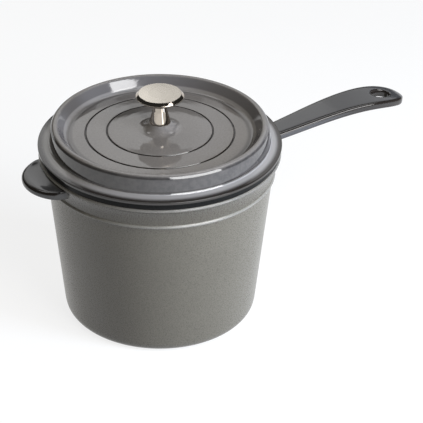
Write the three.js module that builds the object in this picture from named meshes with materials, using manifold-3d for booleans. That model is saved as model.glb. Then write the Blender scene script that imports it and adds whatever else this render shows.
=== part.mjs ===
// Tall enamelled cast-iron saucepan: a tapered pot cast in one with its long handle and helper ear,
// and a loose lid with a raised rim and a screwed-on metal knob.
// Millimetres, +Z up. The origin is on the pot's axis, on the underside of its base.
// The long handle points along +X.
import * as THREE from "three";
import { mergeVertices } from "three/addons/utils/BufferGeometryUtils.js";
import Module from "manifold-3d";

const wasm = await Module();
wasm.setup();

// Driving dimensions of the pot
const RIM_RADIUS = 96;
const POT_HEIGHT = 148;
const COLLAR_HEIGHT = 23.5; // rim top down to the rib
const COLLAR_FLARE = 5.6; // rim beyond the wall at the rib
const WALL_LEAN = 12.8; // wall at the rib beyond the wall at the base
const WALL = 4.5;
const BASE_THICKNESS = 5.5;
const BASE_CORNER = 9;
const FLOOR_CORNER = 8;
const RIM_BAND = 4.6; // upright band between the collar and the rim top
const RIM_ROUND = 1.2;
const COLLAR_STEP = 0.8; // foot of the collar beyond the wall at the rib
const RIB_PROUD = 1.5;
const RIB_WIDTH = 2.6;
const RIB_CREST = 1; // flat of the rib's crest

// Driving dimensions of the long handle
const HANDLE_LENGTH = 121; // tip beyond the rim
const HANDLE_ROOT_WIDTH = 19.2;
const HANDLE_WIDTH = 31.8;
const HANDLE_END = 29; // length of the rounded end
const HANDLE_SWELL = 72; // where the side's curve turns, beyond the rim
const HANDLE_ROOT_DROP = 9; // top of the root below the rim top
const HANDLE_LOW_PULL = 2.3; // first control height of the arch, below the rim top
const HANDLE_HIGH_PULL = 16.1; // second control height of the arch, above the rim top
const HANDLE_TIP_RISE = 1.7; // top of the tip above the rim top
const HANDLE_ROOT_THICKNESS = 7;
const HANDLE_TIP_THICKNESS = 6;
const HOLE_LENGTH = 16;
const HOLE_WIDTH = 13.6;
const HOLE_FROM_TIP = 20.2;
const HANDLE_BITE = 6; // start of the handle inside the rim

// Driving dimensions of the helper ear
const EAR_LENGTH = 18.6; // beyond the rim
const EAR_WIDTH = 61.2;
const EAR_THICKNESS = 7;
const EAR_DROP = 9; // top of the ear below the rim top
const EAR_EDGE = 2.2;
const EAR_BITE = 9.1; // middle of the ear's outline inside the rim

// Driving dimensions of the lid
const LID_OVERHANG = 1;
const SEAT_GAP = 0.3;
const FLANGE_EDGE = 4.1; // thickness of the flange at its edge
const FLANGE_RISE = 1.6; // from the flange's edge up to the foot of the raised rim
const FLANGE_WIDTH = 9.4;
const FLANGE_FILLET = 1.5;
const RAISED_RIM = 13.4; // height of the raised rim above its outer foot
const RAISED_LEAN = 1.5;
const RAISED_TOP = 4.7; // width of the raised rim's top
const RAISED_ROUND = 1.8;
const RAISED_SLOPE = 7.6; // run of the raised rim's inner face
const LID_THICKNESS = 4.5;
const DOME_RADIUS = 613;
const FLOOR_SINK = 9.9; // edge of the lid's floor below the raised rim's top
const FLOOR_FILLET = 4;
const GROOVE_INSETS = [14.8, 31.8]; // middle of each groove inside the floor's edge, outer groove first
const GROOVE_WIDTH = 1.4;
const GROOVE_DEPTH = 0.8;
const RIDGE_DEPTH = 5;
const RIDGE_WIDTH = 4;
const RIDGE_ROUND = 1;
const RIDGE_FILLET = 2;
const RIDGE_CLEARANCE = 0.8;
const BOSS_RADIUS = 12.7;
const BOSS_TOP_RADIUS = 8.2;
const BOSS_HEIGHT = 6; // above the crown of the floor
const BOSS_FILLET = 1.5;
const BOSS_ROUND = 3;
const NUB_RADIUS = 2.6;
const NUB_TIP_RADIUS = 0.9;
const NUB_HEIGHT = 3;
const NUB_SPACING = 19;
const NUB_RINGS = 3;
const NUBS_PER_RING = 6; // in the first ring, and as many more in each next one
const NUB_SINK = 0.6; // root of a nub inside the lid

// Driving dimensions of the knob and its screw
const KNOB_RADIUS = 19.1;
const KNOB_HEIGHT = 25.9;
const KNOB_FOOT_RADIUS = 8.1;
const KNOB_WAIST_RADIUS = 5.9;
const KNOB_FOOT_HEIGHT = 1.6;
const KNOB_FOOT_ROUND = 0.7;
const KNOB_NECK_FILLET = 3;
const KNOB_UNDERCUT = 3; // rise of the cap's underside from the neck to the edge
const KNOB_EDGE = 0.8;
const KNOB_EDGE_ROUND = 0.3;
const KNOB_BEVEL_RUN = 2.1;
const KNOB_BEVEL_DROP = 2.4;
const KNOB_TOP_ROUND = 0.8;
const KNOB_CROWN = 0.4;
const SCREW_RADIUS = 2.9;
const SCREW_GRIP = 11; // length of screw inside the knob
const SCREW_HEAD_RADIUS = 5.4;
const SCREW_HEAD_HEIGHT = 3.2;
const SCREW_HEAD_ROUND = 1.8;
const SCREW_CLEARANCE = 0.3;
const CONTACT_GAP = 0.1;
const WASHER_RADIUS = 8;
const WASHER_THICKNESS = 1.4;
const LOCK_WASHER_RADIUS = 5.6;
const LOCK_WASHER_THICKNESS = 1.5;
const LOCK_WASHER_SPLIT = 1.2;
const LOCK_WASHER_SLANT = Math.PI / 6;
const PAD_MARGIN = 1; // flat pad on the lid's underside, beyond the washer

// Facets
const ROUND_STEPS = 64;
const SMALL_STEPS = 32;
const NUB_STEPS = 8;
const ARC_STEP = Math.PI / 6;
const CURVE_STEPS = 14;
const DOME_STEPS = 4;
const MERGE = 1e-4;

// Sizes that follow from the driving dimensions
const shoulderRadius = RIM_RADIUS - COLLAR_FLARE;
const baseRadius = shoulderRadius - WALL_LEAN;
const ribHeight = POT_HEIGHT - COLLAR_HEIGHT;
const wallTaper = WALL_LEAN / ribHeight;
const collarTop = POT_HEIGHT - RIM_BAND;
const innerRadius = (z) => baseRadius + wallTaper * z - WALL;
const handleRoot = RIM_RADIUS - HANDLE_BITE;
const handleTip = RIM_RADIUS + HANDLE_LENGTH;
const lidRadius = RIM_RADIUS + LID_OVERHANG;
const seat = POT_HEIGHT + SEAT_GAP;
const raisedFoot = lidRadius - FLANGE_WIDTH;
const raisedOuter = raisedFoot - RAISED_LEAN;
const raisedInner = raisedOuter - RAISED_TOP;
const raisedTop = seat + FLANGE_EDGE + FLANGE_RISE + RAISED_RIM;
const floorRadius = raisedInner - RAISED_SLOPE;
const crown = raisedTop - FLOOR_SINK + floorRadius ** 2 / (2 * DOME_RADIUS);
const floorHeight = (r) => crown - r ** 2 / (2 * DOME_RADIUS);
const ceilingHeight = (r) => floorHeight(r) - LID_THICKNESS;
const ridgeBottom = seat - RIDGE_DEPTH;
const ridgeOuter = innerRadius(ridgeBottom) - RIDGE_CLEARANCE;
const ridgeInner = ridgeOuter - RIDGE_WIDTH;
const bossTop = crown + BOSS_HEIGHT;
const screwHole = SCREW_RADIUS + SCREW_CLEARANCE;
const padRadius = WASHER_RADIUS + PAD_MARGIN;
const padHeight = ceilingHeight(padRadius);
const knobFoot = bossTop + CONTACT_GAP;
const washerTop = padHeight - CONTACT_GAP;
const lockWasherTop = washerTop - WASHER_THICKNESS - CONTACT_GAP;
const headTop = lockWasherTop - LOCK_WASHER_THICKNESS - CONTACT_GAP;

// Turns corners [r, z, fillet] into an outline, with each fillet as an arc that its two sides leave room for.
function outline(corners) {
  const points = [];
  corners.forEach(([r, z, fillet = 0], i) => {
    const corner = new THREE.Vector2(r, z);
    const before = corners[i - 1];
    const after = corners[i + 1];
    if (fillet === 0 || !before || !after) {
      points.push(corner);
      return;
    }
    const back = new THREE.Vector2(before[0], before[1]).sub(corner);
    const ahead = new THREE.Vector2(after[0], after[1]).sub(corner);
    const room = Math.min(back.length(), ahead.length()) / 2;
    back.normalize();
    ahead.normalize();
    const half = Math.acos(THREE.MathUtils.clamp(back.dot(ahead), -1, 1)) / 2;
    const reach = Math.min(fillet / Math.tan(half), room);
    const radius = reach * Math.tan(half);
    const middle = back.clone().add(ahead).normalize();
    const centre = corner.clone().addScaledVector(middle, radius / Math.sin(half));
    const start = corner.clone().addScaledVector(back, reach).sub(centre);
    const turn = Math.PI - 2 * half;
    const sense = Math.sign(ahead.cross(back));
    const steps = Math.max(1, Math.ceil(turn / ARC_STEP));
    for (let k = 0; k <= steps; k += 1) {
      const spoke = start.clone().rotateAround(new THREE.Vector2(), (sense * turn * k) / steps);
      points.push(spoke.add(centre));
    }
  });
  return points;
}

// A solid of revolution about +Z from a profile of corners.
function turned(corners, steps) {
  const geometry = new THREE.LatheGeometry(outline(corners), steps);
  geometry.rotateX(Math.PI / 2);
  return geometry;
}

function solidOf(geometry) {
  const bare = geometry.clone();
  bare.deleteAttribute("normal");
  bare.deleteAttribute("uv");
  const merged = mergeVertices(bare, MERGE);
  const mesh = new wasm.Mesh({
    numProp: 3,
    vertProperties: merged.attributes.position.array,
    triVerts: new Uint32Array(merged.index.array),
  });
  return new wasm.Manifold(mesh);
}

function geometryOf(solid) {
  const { vertProperties, triVerts } = solid.getMesh();
  const geometry = new THREE.BufferGeometry();
  geometry.setAttribute("position", new THREE.BufferAttribute(vertProperties, 3));
  geometry.setIndex(new THREE.BufferAttribute(triVerts, 1));
  geometry.computeVertexNormals();
  return geometry;
}

// A shape drawn in X and Z, extruded across Y by width on both sides of the X-Z plane.
function acrossY(shape, width) {
  const geometry = new THREE.ExtrudeGeometry(shape, {
    depth: width,
    bevelEnabled: false,
    curveSegments: CURVE_STEPS,
  });
  geometry.rotateX(Math.PI / 2);
  geometry.translate(0, width / 2, 0);
  return geometry;
}

// A shape drawn in X and Y, extruded up from one height to another.
function upZ(shape, low, high) {
  const geometry = new THREE.ExtrudeGeometry(shape, {
    depth: high - low,
    bevelEnabled: false,
    curveSegments: CURVE_STEPS,
  });
  geometry.translate(0, 0, low);
  return geometry;
}

// The pot's outside, filled to the rim.
function potBody() {
  const ribMiddle = shoulderRadius + RIB_PROUD;
  const ribBelow = ribHeight - RIB_WIDTH / 2;
  const ribAbove = ribHeight + RIB_WIDTH / 2;
  return turned(
    [
      [0, 0],
      [baseRadius, 0, BASE_CORNER],
      [baseRadius + wallTaper * ribBelow, ribBelow],
      [ribMiddle, ribHeight - RIB_CREST / 2],
      [ribMiddle, ribHeight + RIB_CREST / 2],
      [shoulderRadius + COLLAR_STEP, ribAbove],
      [RIM_RADIUS, collarTop, RIM_BAND],
      [RIM_RADIUS, POT_HEIGHT, RIM_ROUND],
      [0, POT_HEIGHT],
    ],
    ROUND_STEPS,
  );
}

// The space inside the pot, carried up past the rim so that the cut leaves an open top.
function potCavity() {
  const above = POT_HEIGHT + WALL;
  return turned(
    [
      [0, BASE_THICKNESS],
      [innerRadius(BASE_THICKNESS), BASE_THICKNESS, FLOOR_CORNER],
      [innerRadius(POT_HEIGHT), POT_HEIGHT],
      [innerRadius(POT_HEIGHT), above],
      [0, above],
    ],
    ROUND_STEPS,
  );
}

// The handle's side view: an arched top and a bottom that comes closer to it towards the tip.
function handleSide() {
  const reach = handleTip - handleRoot;
  const lowX = handleRoot + reach / 3;
  const highX = handleRoot + (2 * reach) / 3;
  const heights = [-HANDLE_ROOT_DROP, -HANDLE_LOW_PULL, HANDLE_HIGH_PULL, HANDLE_TIP_RISE];
  const [root, low, high, tip] = heights.map((rise) => POT_HEIGHT + rise);
  const thinning = HANDLE_ROOT_THICKNESS - HANDLE_TIP_THICKNESS;
  const lowBottom = low - HANDLE_ROOT_THICKNESS + thinning / 3;
  const highBottom = high - HANDLE_ROOT_THICKNESS + (2 * thinning) / 3;
  const side = new THREE.Shape();
  side.moveTo(handleRoot, root - HANDLE_ROOT_THICKNESS);
  side.bezierCurveTo(lowX, lowBottom, highX, highBottom, handleTip, tip - HANDLE_TIP_THICKNESS);
  side.lineTo(handleTip, tip);
  side.bezierCurveTo(highX, high, lowX, low, handleRoot, root);
  side.closePath();
  return side;
}

// The handle's outline from above: it swells from the root to the rounded end.
function handlePlan() {
  const root = HANDLE_ROOT_WIDTH / 2;
  const half = HANDLE_WIDTH / 2;
  const endStart = handleTip - HANDLE_END;
  const turn = RIM_RADIUS + HANDLE_SWELL;
  const plan = new THREE.Shape();
  plan.moveTo(handleRoot, -root);
  plan.quadraticCurveTo(turn, -half, endStart, -half);
  plan.absellipse(endStart, 0, HANDLE_END, half, -Math.PI / 2, Math.PI / 2, false);
  plan.quadraticCurveTo(turn, half, handleRoot, root);
  plan.closePath();
  return plan;
}

function handleSolid() {
  const low = POT_HEIGHT - HANDLE_ROOT_DROP - 2 * HANDLE_ROOT_THICKNESS;
  const high = POT_HEIGHT + HANDLE_HIGH_PULL;
  const hole = new THREE.Shape();
  const holeX = handleTip - HOLE_FROM_TIP;
  hole.absellipse(holeX, 0, HOLE_LENGTH / 2, HOLE_WIDTH / 2, 0, 2 * Math.PI, false);
  return solidOf(acrossY(handleSide(), 2 * HANDLE_WIDTH))
    .intersect(solidOf(upZ(handlePlan(), low, high)))
    .subtract(solidOf(upZ(hole, low, high)));
}

// The helper ear: a half-moon tab opposite the handle, with a softened edge.
function earSolid() {
  const centre = EAR_BITE - RIM_RADIUS;
  const across = EAR_WIDTH / 2;
  const along = EAR_LENGTH + EAR_BITE;
  const moon = new THREE.Shape();
  moon.absellipse(centre, 0, along, across, Math.PI / 2, (3 * Math.PI) / 2, false);
  moon.closePath();
  const geometry = new THREE.ExtrudeGeometry(moon, {
    depth: EAR_THICKNESS - 2 * EAR_EDGE,
    bevelSize: EAR_EDGE,
    bevelThickness: EAR_EDGE,
    bevelOffset: -EAR_EDGE,
    bevelSegments: 2,
    curveSegments: CURVE_STEPS,
  });
  geometry.translate(0, 0, POT_HEIGHT - EAR_DROP - EAR_THICKNESS + EAR_EDGE);
  return solidOf(geometry);
}

function potCasting() {
  const cast = solidOf(potBody()).add(handleSolid()).add(earSolid());
  return geometryOf(cast.subtract(solidOf(potCavity())));
}

// The lid's floor from its edge in to the boss, with a notch at each groove.
function floorCorners() {
  const corners = [];
  for (const inset of GROOVE_INSETS) {
    const radius = floorRadius - inset;
    const outer = radius + GROOVE_WIDTH / 2;
    const inner = radius - GROOVE_WIDTH / 2;
    corners.push([outer, floorHeight(outer)]);
    corners.push([radius, floorHeight(radius) - GROOVE_DEPTH]);
    corners.push([inner, floorHeight(inner)]);
  }
  return corners;
}

// The lid's ceiling from the screw pad out to the locating ridge, following the dome.
function ceilingCorners() {
  const corners = [];
  for (let k = 1; k < DOME_STEPS; k += 1) {
    const r = padRadius + ((ridgeInner - padRadius) * k) / DOME_STEPS;
    corners.push([r, ceilingHeight(r)]);
  }
  return corners;
}

function lidBody() {
  const flangeTop = seat + FLANGE_EDGE;
  return turned(
    [
      [screwHole, padHeight],
      [padRadius, padHeight],
      ...ceilingCorners(),
      [ridgeInner, ceilingHeight(ridgeInner), RIDGE_FILLET],
      [ridgeInner, ridgeBottom, RIDGE_ROUND],
      [ridgeOuter, ridgeBottom, RIDGE_ROUND],
      [ridgeOuter, seat],
      [lidRadius, seat, FLANGE_EDGE / 2],
      [lidRadius, flangeTop, FLANGE_EDGE / 2],
      [raisedFoot, flangeTop + FLANGE_RISE, FLANGE_FILLET],
      [raisedOuter, raisedTop, RAISED_ROUND],
      [raisedInner, raisedTop, RAISED_ROUND],
      [floorRadius, floorHeight(floorRadius), FLOOR_FILLET],
      ...floorCorners(),
      [BOSS_RADIUS, floorHeight(BOSS_RADIUS), BOSS_FILLET],
      [BOSS_TOP_RADIUS, bossTop, BOSS_ROUND],
      [screwHole, bossTop],
      [screwHole, padHeight],
    ],
    ROUND_STEPS,
  );
}

// Basting nubs: blunt cones in rings on the lid's ceiling.
function nubSolids() {
  const nub = turned(
    [
      [0, -NUB_HEIGHT],
      [NUB_TIP_RADIUS, -NUB_HEIGHT],
      [NUB_RADIUS, 0],
      [NUB_RADIUS, NUB_SINK],
      [0, NUB_SINK],
    ],
    NUB_STEPS,
  );
  const solids = [];
  for (let ring = 1; ring <= NUB_RINGS; ring += 1) {
    const radius = ring * NUB_SPACING;
    const count = ring * NUBS_PER_RING;
    for (let k = 0; k < count; k += 1) {
      const angle = (2 * Math.PI * (k + ring / 2)) / count;
      const copy = nub.clone();
      copy.translate(radius * Math.cos(angle), radius * Math.sin(angle), ceilingHeight(radius));
      solids.push(solidOf(copy));
    }
  }
  return solids;
}

function lidCasting() {
  const cast = nubSolids().reduce((whole, nub) => whole.add(nub), solidOf(lidBody()));
  return geometryOf(cast);
}

function knob() {
  const top = knobFoot + KNOB_HEIGHT;
  const edgeTop = top - KNOB_CROWN - KNOB_BEVEL_DROP;
  const edgeBottom = edgeTop - KNOB_EDGE;
  const boreEnd = knobFoot + SCREW_GRIP + CONTACT_GAP;
  const neck = edgeBottom - KNOB_UNDERCUT;
  return turned(
    [
      [0, boreEnd],
      [screwHole, boreEnd],
      [screwHole, knobFoot],
      [KNOB_FOOT_RADIUS, knobFoot, KNOB_FOOT_ROUND],
      [KNOB_FOOT_RADIUS, knobFoot + KNOB_FOOT_HEIGHT, KNOB_FOOT_ROUND],
      [KNOB_WAIST_RADIUS, neck, KNOB_NECK_FILLET],
      [KNOB_RADIUS, edgeBottom, KNOB_EDGE_ROUND],
      [KNOB_RADIUS, edgeTop, KNOB_EDGE_ROUND],
      [KNOB_RADIUS - KNOB_BEVEL_RUN, top - KNOB_CROWN, KNOB_TOP_ROUND],
      [KNOB_RADIUS / 2, top - KNOB_CROWN / 4],
      [0, top],
    ],
    SMALL_STEPS,
  );
}

function screw() {
  const tip = knobFoot + SCREW_GRIP;
  return turned(
    [
      [0, headTop - SCREW_HEAD_HEIGHT],
      [SCREW_HEAD_RADIUS, headTop - SCREW_HEAD_HEIGHT, SCREW_HEAD_ROUND],
      [SCREW_HEAD_RADIUS, headTop],
      [SCREW_RADIUS, headTop],
      [SCREW_RADIUS, tip],
      [0, tip],
    ],
    SMALL_STEPS,
  );
}

function washer(outer, top, thickness) {
  return turned(
    [
      [screwHole, top - thickness],
      [outer, top - thickness],
      [outer, top],
      [screwHole, top],
      [screwHole, top - thickness],
    ],
    SMALL_STEPS,
  );
}

// The spring washer is a ring with one slanted split.
function lockWasher() {
  const ring = washer(LOCK_WASHER_RADIUS, lockWasherTop, LOCK_WASHER_THICKNESS);
  const split = new THREE.BoxGeometry(LOCK_WASHER_RADIUS, LOCK_WASHER_SPLIT, 4 * LOCK_WASHER_THICKNESS);
  split.rotateX(LOCK_WASHER_SLANT);
  split.translate(LOCK_WASHER_RADIUS, 0, lockWasherTop - LOCK_WASHER_THICKNESS / 2);
  return geometryOf(solidOf(ring).subtract(solidOf(split)));
}

function named(name, geometry, material) {
  const mesh = new THREE.Mesh(geometry, material);
  mesh.name = name;
  return mesh;
}

const enamel = new THREE.MeshStandardMaterial({ color: 0x6f6c68, roughness: 0.35, metalness: 0 });
const nickel = new THREE.MeshStandardMaterial({ color: 0xcfc9c0, roughness: 0.25, metalness: 1 });
const zincSteel = new THREE.MeshStandardMaterial({ color: 0xb4b6b8, roughness: 0.4, metalness: 1 });

const lid = new THREE.Group();
lid.add(named("lid_casting", lidCasting(), enamel));
lid.add(named("lid_knob", knob(), nickel));
lid.add(named("knob_screw", screw(), zincSteel));
lid.add(named("knob_washer", washer(WASHER_RADIUS, washerTop, WASHER_THICKNESS), zincSteel));
lid.add(named("knob_lock_washer", lockWasher(), zincSteel));

const saucepan = new THREE.Group();
saucepan.add(named("pot_casting", potCasting(), enamel));
saucepan.add(lid);

export default saucepan;
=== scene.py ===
import math
from collections import namedtuple

import bmesh
import bpy
from mathutils import Matrix, Vector


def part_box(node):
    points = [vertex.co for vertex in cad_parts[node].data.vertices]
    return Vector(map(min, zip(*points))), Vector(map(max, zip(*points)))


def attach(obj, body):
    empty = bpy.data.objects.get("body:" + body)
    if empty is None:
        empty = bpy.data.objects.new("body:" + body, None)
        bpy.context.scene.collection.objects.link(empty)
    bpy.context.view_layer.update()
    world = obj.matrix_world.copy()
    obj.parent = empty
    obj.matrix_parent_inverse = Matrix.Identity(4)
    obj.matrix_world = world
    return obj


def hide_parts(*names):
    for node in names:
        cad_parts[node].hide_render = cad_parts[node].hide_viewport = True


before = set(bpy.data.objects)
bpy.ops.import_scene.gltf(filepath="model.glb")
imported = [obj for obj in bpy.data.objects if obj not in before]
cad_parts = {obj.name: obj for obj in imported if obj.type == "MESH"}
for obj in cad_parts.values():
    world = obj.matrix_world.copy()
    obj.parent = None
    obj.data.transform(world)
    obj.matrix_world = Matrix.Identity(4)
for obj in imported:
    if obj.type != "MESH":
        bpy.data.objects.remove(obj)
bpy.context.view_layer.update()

# An enamelled cast-iron saucepan: a pot with a long handle and an ear, and a lid with a turned metal knob.
# Every piece is drawn in millimetres from the middle of the pot's underside, and made metres at the end.
MM = 0.001
FULL_TURN = 2 * math.pi
AXIS = (0, 0, 1)
ORIGIN = (0, 0, 0)
SEAM_GAP = 0.01
WELD_GAP = 0.005


Place = namedtuple("Place", "x y z")


def node_box(node):
    """Lowest and highest corners of a CAD node, in millimetres to the nearest hundredth."""
    return [Place(*(round(part / MM, 2) for part in corner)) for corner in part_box(node)]


# Places that the frame gives
POT_LOW, POT_HIGH = node_box("pot_casting")
LID_LOW, LID_HIGH = node_box("lid_casting")
KNOB_LOW, KNOB_HIGH = node_box("lid_knob")
SCREW_LOW, SCREW_HIGH = node_box("knob_screw")
WASHER_LOW, WASHER_HIGH = node_box("knob_washer")

# Pot
POT_STEPS = 120
POT_STEP = FULL_TURN / POT_STEPS
POT_HEIGHT = 148.0
BASE_RADIUS = 77.6
BASE_FLAT = 62.0
BASE_CORNER = 9.0
BLACK_BASE_RADIUS = 66.0
WALL_TAPER = 0.1028
WALL = 4.5
WALL_HEIGHTS = (14.0, 50.0, 90.0, 116.0, 123.6)
INSIDE_HEIGHTS = (146.4, 138.0, 80.0, 22.0)
INSIDE_LIP = 1.4
POT_FLOOR = 5.5
POT_FLOOR_FLAT = 58.0
POT_FLOOR_CORNER = 8.0
RIB_CREST = 125.7
# Painted shade on the collar: the height where it starts and where it is full
COLLAR_PAINTED_SHADE_FROM = 126.5
COLLAR_PAINTED_SHADE_FULL = 128.5
COLLAR_RADIUS = 91.0
COLLAR_CREST = 142.8
RIM_RADIUS = 95.4
BLACK_RIM_FROM = 143.65
BLACK_RIM_REACH = 97.0
BLACK_MARGIN = 1.0
UNDERSIDE_TOP = 0.5

# A grip is pulled out of the collar as three rows of vertices
GRIP_BOTTOM = 132.0
GRIP_MIDDLE = 135.5
GRIP_TOP = 140.3
GRIP_LEVELS = (GRIP_BOTTOM, GRIP_MIDDLE, GRIP_TOP)
BOTTOM_ROW = 0
MIDDLE_ROW = 1
TOP_ROW = 2

# Long handle, along +X
HANDLE_COLUMNS = 4
HANDLE_ROOT = 90.0
HANDLE_SWELL = 168.0
HANDLE_BELLY = 188.0
HANDLE_TIP = POT_HIGH.x
HANDLE_ROOT_HALF = 9.6
HANDLE_HALF = 16.2
HANDLE_END_FULLNESS = 2.35
HANDLE_EDGE = 4.6
HANDLE_SHOULDER = 0.3
HANDLE_TOP_PULLS = (139.2, 146.2, 164.1, 149.9)
HANDLE_BOTTOM_PULLS = (132.2, 139.6, 156.8, 143.1)
HANDLE_GLAZE = (1.0, 0.3, 0.0, 0.3, 1.0)
# Painted shade on the handle's sides: its depth, where it starts and the run over which it deepens
HANDLE_SIDE_SHADE = 0.72
HANDLE_SIDE_SHADE_FROM = 112.0
HANDLE_SIDE_SHADE_RUN = 60.0

# Hanging hole in the handle
HOLE_MIDDLE = 196.8
HOLE_HALF_LENGTH = 8.0
HOLE_HALF_WIDTH = 6.8
HOLE_LIP = 2.2
HOLE_DRAFT = 0.5
HOLE_REACH = 13.5
HOLE_FACE_TILT = 0.8
HOLE_INSET = 0.5
HOLE_WALL_HEIGHT = 4.0

HANDLE_STATIONS = (
    95.6, 98.2, 103, 110, 119, 129, 139, 149, 159, 168, 176,
    HOLE_MIDDLE - HOLE_REACH,
    HOLE_MIDDLE - HOLE_REACH / 2,
    HOLE_MIDDLE,
    HOLE_MIDDLE + HOLE_REACH / 2,
    HOLE_MIDDLE + HOLE_REACH,
)

# The handle's rounded tip: x of the outer, inner and middle columns, half the width, and how far it thins
TipStation = namedtuple("TipStation", "outer inner middle half ease")
TIP_STATIONS = (
    TipStation(213.6, 214.6, 214.8, 8.3, 0.8),
    TipStation(216.2, 217.2, 217.4, 4.2, 2.0),
)
TIP_INNER_SHARE = 0.56

# Ear, along -X
EAR_COLUMNS = 12
EAR_TOP = 139.0
EAR_LEVELS = (GRIP_BOTTOM, GRIP_MIDDLE, EAR_TOP)
EAR_MIDDLE = -86.9
EAR_HALF_LENGTH = EAR_MIDDLE - POT_LOW.x
EAR_HALF_WIDTH = 30.6
EAR_SWEEP = math.radians(66)
EAR_BORDER = 4.2
EAR_SHOULDER = 1.2

# Five stations take the ear from the wall to its edge: three by their share of the way, then the border
# and the edge. The dish is how far the top sinks at each.
EAR_ROOT_SHARES = (0.05, 0.18, 0.5)
EAR_BORDER_STATION = 3
EAR_EDGE_STATION = 4
EAR_DISH = (0.3, 1.0, 1.3, 0.2, 0.0)

# Lid
LID_STEPS = 160
LID_LONGEST_RUN = 3.2
LID_RADIUS = LID_HIGH.x
SEAT = 148.3
BLACK_EDGE = 0.7
BLACK_BELOW_REACH = 84.0
BLACK_BELOW_DEPTH = 2.0
LID_THICKNESS = 4.5
LID_CROWN = 161.94
DOME_SPAN = 1226.0
DISC_RISE = 2.5
LID_FLOOR_EDGE = 73.8
GROOVES = (42.0, 59.0)
GROOVE_HALF_WIDTH = 0.7
GROOVE_HALF_FLAT = 0.25
GROOVE_SHOULDER = 0.5
GROOVE_DEPTH = 0.8
RIDGE_INNER = 83.03
RIDGE_OUTER = 87.03
RIDGE_FOOT = LID_LOW.z
PAD_RADIUS = 9.0
PAD_HEIGHT = 157.37
BOSS_TOP = LID_HIGH.z

# Radii where the lid's colour changes, for painted shade and painted highlights: a pair is where a change
# starts and where it is complete
RAISED_FACE_STARTS = (84.7, 85.7)
RAISED_FACE_ENDS = (87.6, 88.1)
FLANGE_HIGHLIGHT_STARTS = (87.8, 88.4)
INNER_SLOPE = 78.5
SLOPE_FOOT = 75.0
FLOOR_CREASE = 71.6

# Basting nubs below the lid
NUB_STEPS = 16
NUB_RINGS = (1, 2, 3)
NUB_RING_GAP = 19.0
NUBS_IN_FIRST_RING = 6

# Knob and its fixing
SCREW_HOLE = 3.2
KNOB_STEPS = 48
KNOB_LONGEST_RUN = 3.0
KNOB_RADIUS = KNOB_HIGH.x
KNOB_FOOT = KNOB_LOW.z
KNOB_TOP = KNOB_HIGH.z
KNOB_BORE = 11.1
BRUSHED_FROM = KNOB_TOP - 0.74
BRUSHED_FULL = KNOB_TOP - 0.34
SCREW_STEPS = 36
SCREW_RADIUS = 2.9
SCREW_HEAD_RADIUS = SCREW_HIGH.x
SCREW_HEAD_BOTTOM = SCREW_LOW.z
SCREW_HEAD_TOP = SCREW_HEAD_BOTTOM + 3.22
SCREW_TIP = SCREW_HIGH.z
SCREW_TIP_BEVEL = 0.64
SOCKET_TOP = SCREW_HEAD_BOTTOM + 1.82
SOCKET_RADIUS = 2.5
WASHER_STEPS = 64
WASHER_RADIUS = WASHER_HIGH.x
WASHER_BOTTOM = WASHER_LOW.z
WASHER_TOP = WASHER_HIGH.z
SPRING_WASHER_STEPS = 56
SPRING_WASHER_RADIUS = 5.6
SPRING_WASHER_BOTTOM = 154.34
SPRING_WASHER_TOP = 155.64
SPRING_WASHER_SPLIT = math.radians(15)

# A corner of a drawn outline: its rounding, the arc's pieces and how far it darkens there, from glaze run
# thin over edges and from painted shade in creases
Corner = namedtuple("Corner", "radius height rounding pieces glaze", defaults=(0.0, 1, 0.0))


def drawn_wire(bm, corners, closed, longest=0.0):
    """A wire in the X-Z plane through the corners. Runs longer than longest are held straight."""
    # Painted depths: glaze run thin over edges, and painted shade in creases and on faces that mirror a
    # dark room
    glaze = bm.verts.layers.float.new("glaze_edge_and_painted_shade")
    bm.verts.layers.float.new("grip_share")
    points = [Vector((corner.radius, 0, corner.height)) for corner in corners]
    verts = [bm.verts.new(point) for point in points]
    for k in range(len(verts) - 1):
        bm.edges.new((verts[k], verts[k + 1]))
    if closed:
        bm.edges.new((verts[-1], verts[0]))
    arcs = []
    for k, corner in enumerate(corners):
        arc = [verts[k]]
        if corner.rounding:
            back = points[k - 1] - points[k]
            ahead = points[(k + 1) % len(points)] - points[k]
            reach = corner.rounding / math.tan(back.angle(ahead) / 2)
            arc = bmesh.ops.bevel(bm, geom=[verts[k]], offset=reach, offset_type="OFFSET",
                                  segments=corner.pieces, profile=0.5, affect="VERTICES",
                                  material=-1, clamp_overlap=False)["verts"]
        arcs.append((arc, corner.glaze))
    if longest:
        hold_straight(bm, longest)
    for arc, depth in arcs:
        for vert in arc:
            vert[glaze] = depth


def hold_straight(bm, longest):
    """Splits each long run near both ends, so that smoothing leaves it straight."""
    hold = longest / 4
    for edge in [edge for edge in bm.edges if edge.calc_length() > longest]:
        start, end = edge.verts
        middle = bmesh.utils.edge_split(edge, start, hold / edge.calc_length())[1]
        rest = next(edge for edge in middle.link_edges if end in edge.verts)
        bmesh.utils.edge_split(rest, end, hold / rest.calc_length())


def turned(bm, steps, angle=FULL_TURN):
    """Turns the drawn wire about the pot's axis."""
    full = angle == FULL_TURN
    bmesh.ops.spin(bm, geom=bm.verts[:] + bm.edges[:], cent=ORIGIN, axis=AXIS, angle=angle, steps=steps,
                   use_merge=full)
    bmesh.ops.remove_doubles(bm, verts=bm.verts, dist=SEAM_GAP)


def placed(name, data):
    """A new object in the scene."""
    made = bpy.data.objects.new(name, data)
    bpy.context.scene.collection.objects.link(made)
    return made


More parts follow.
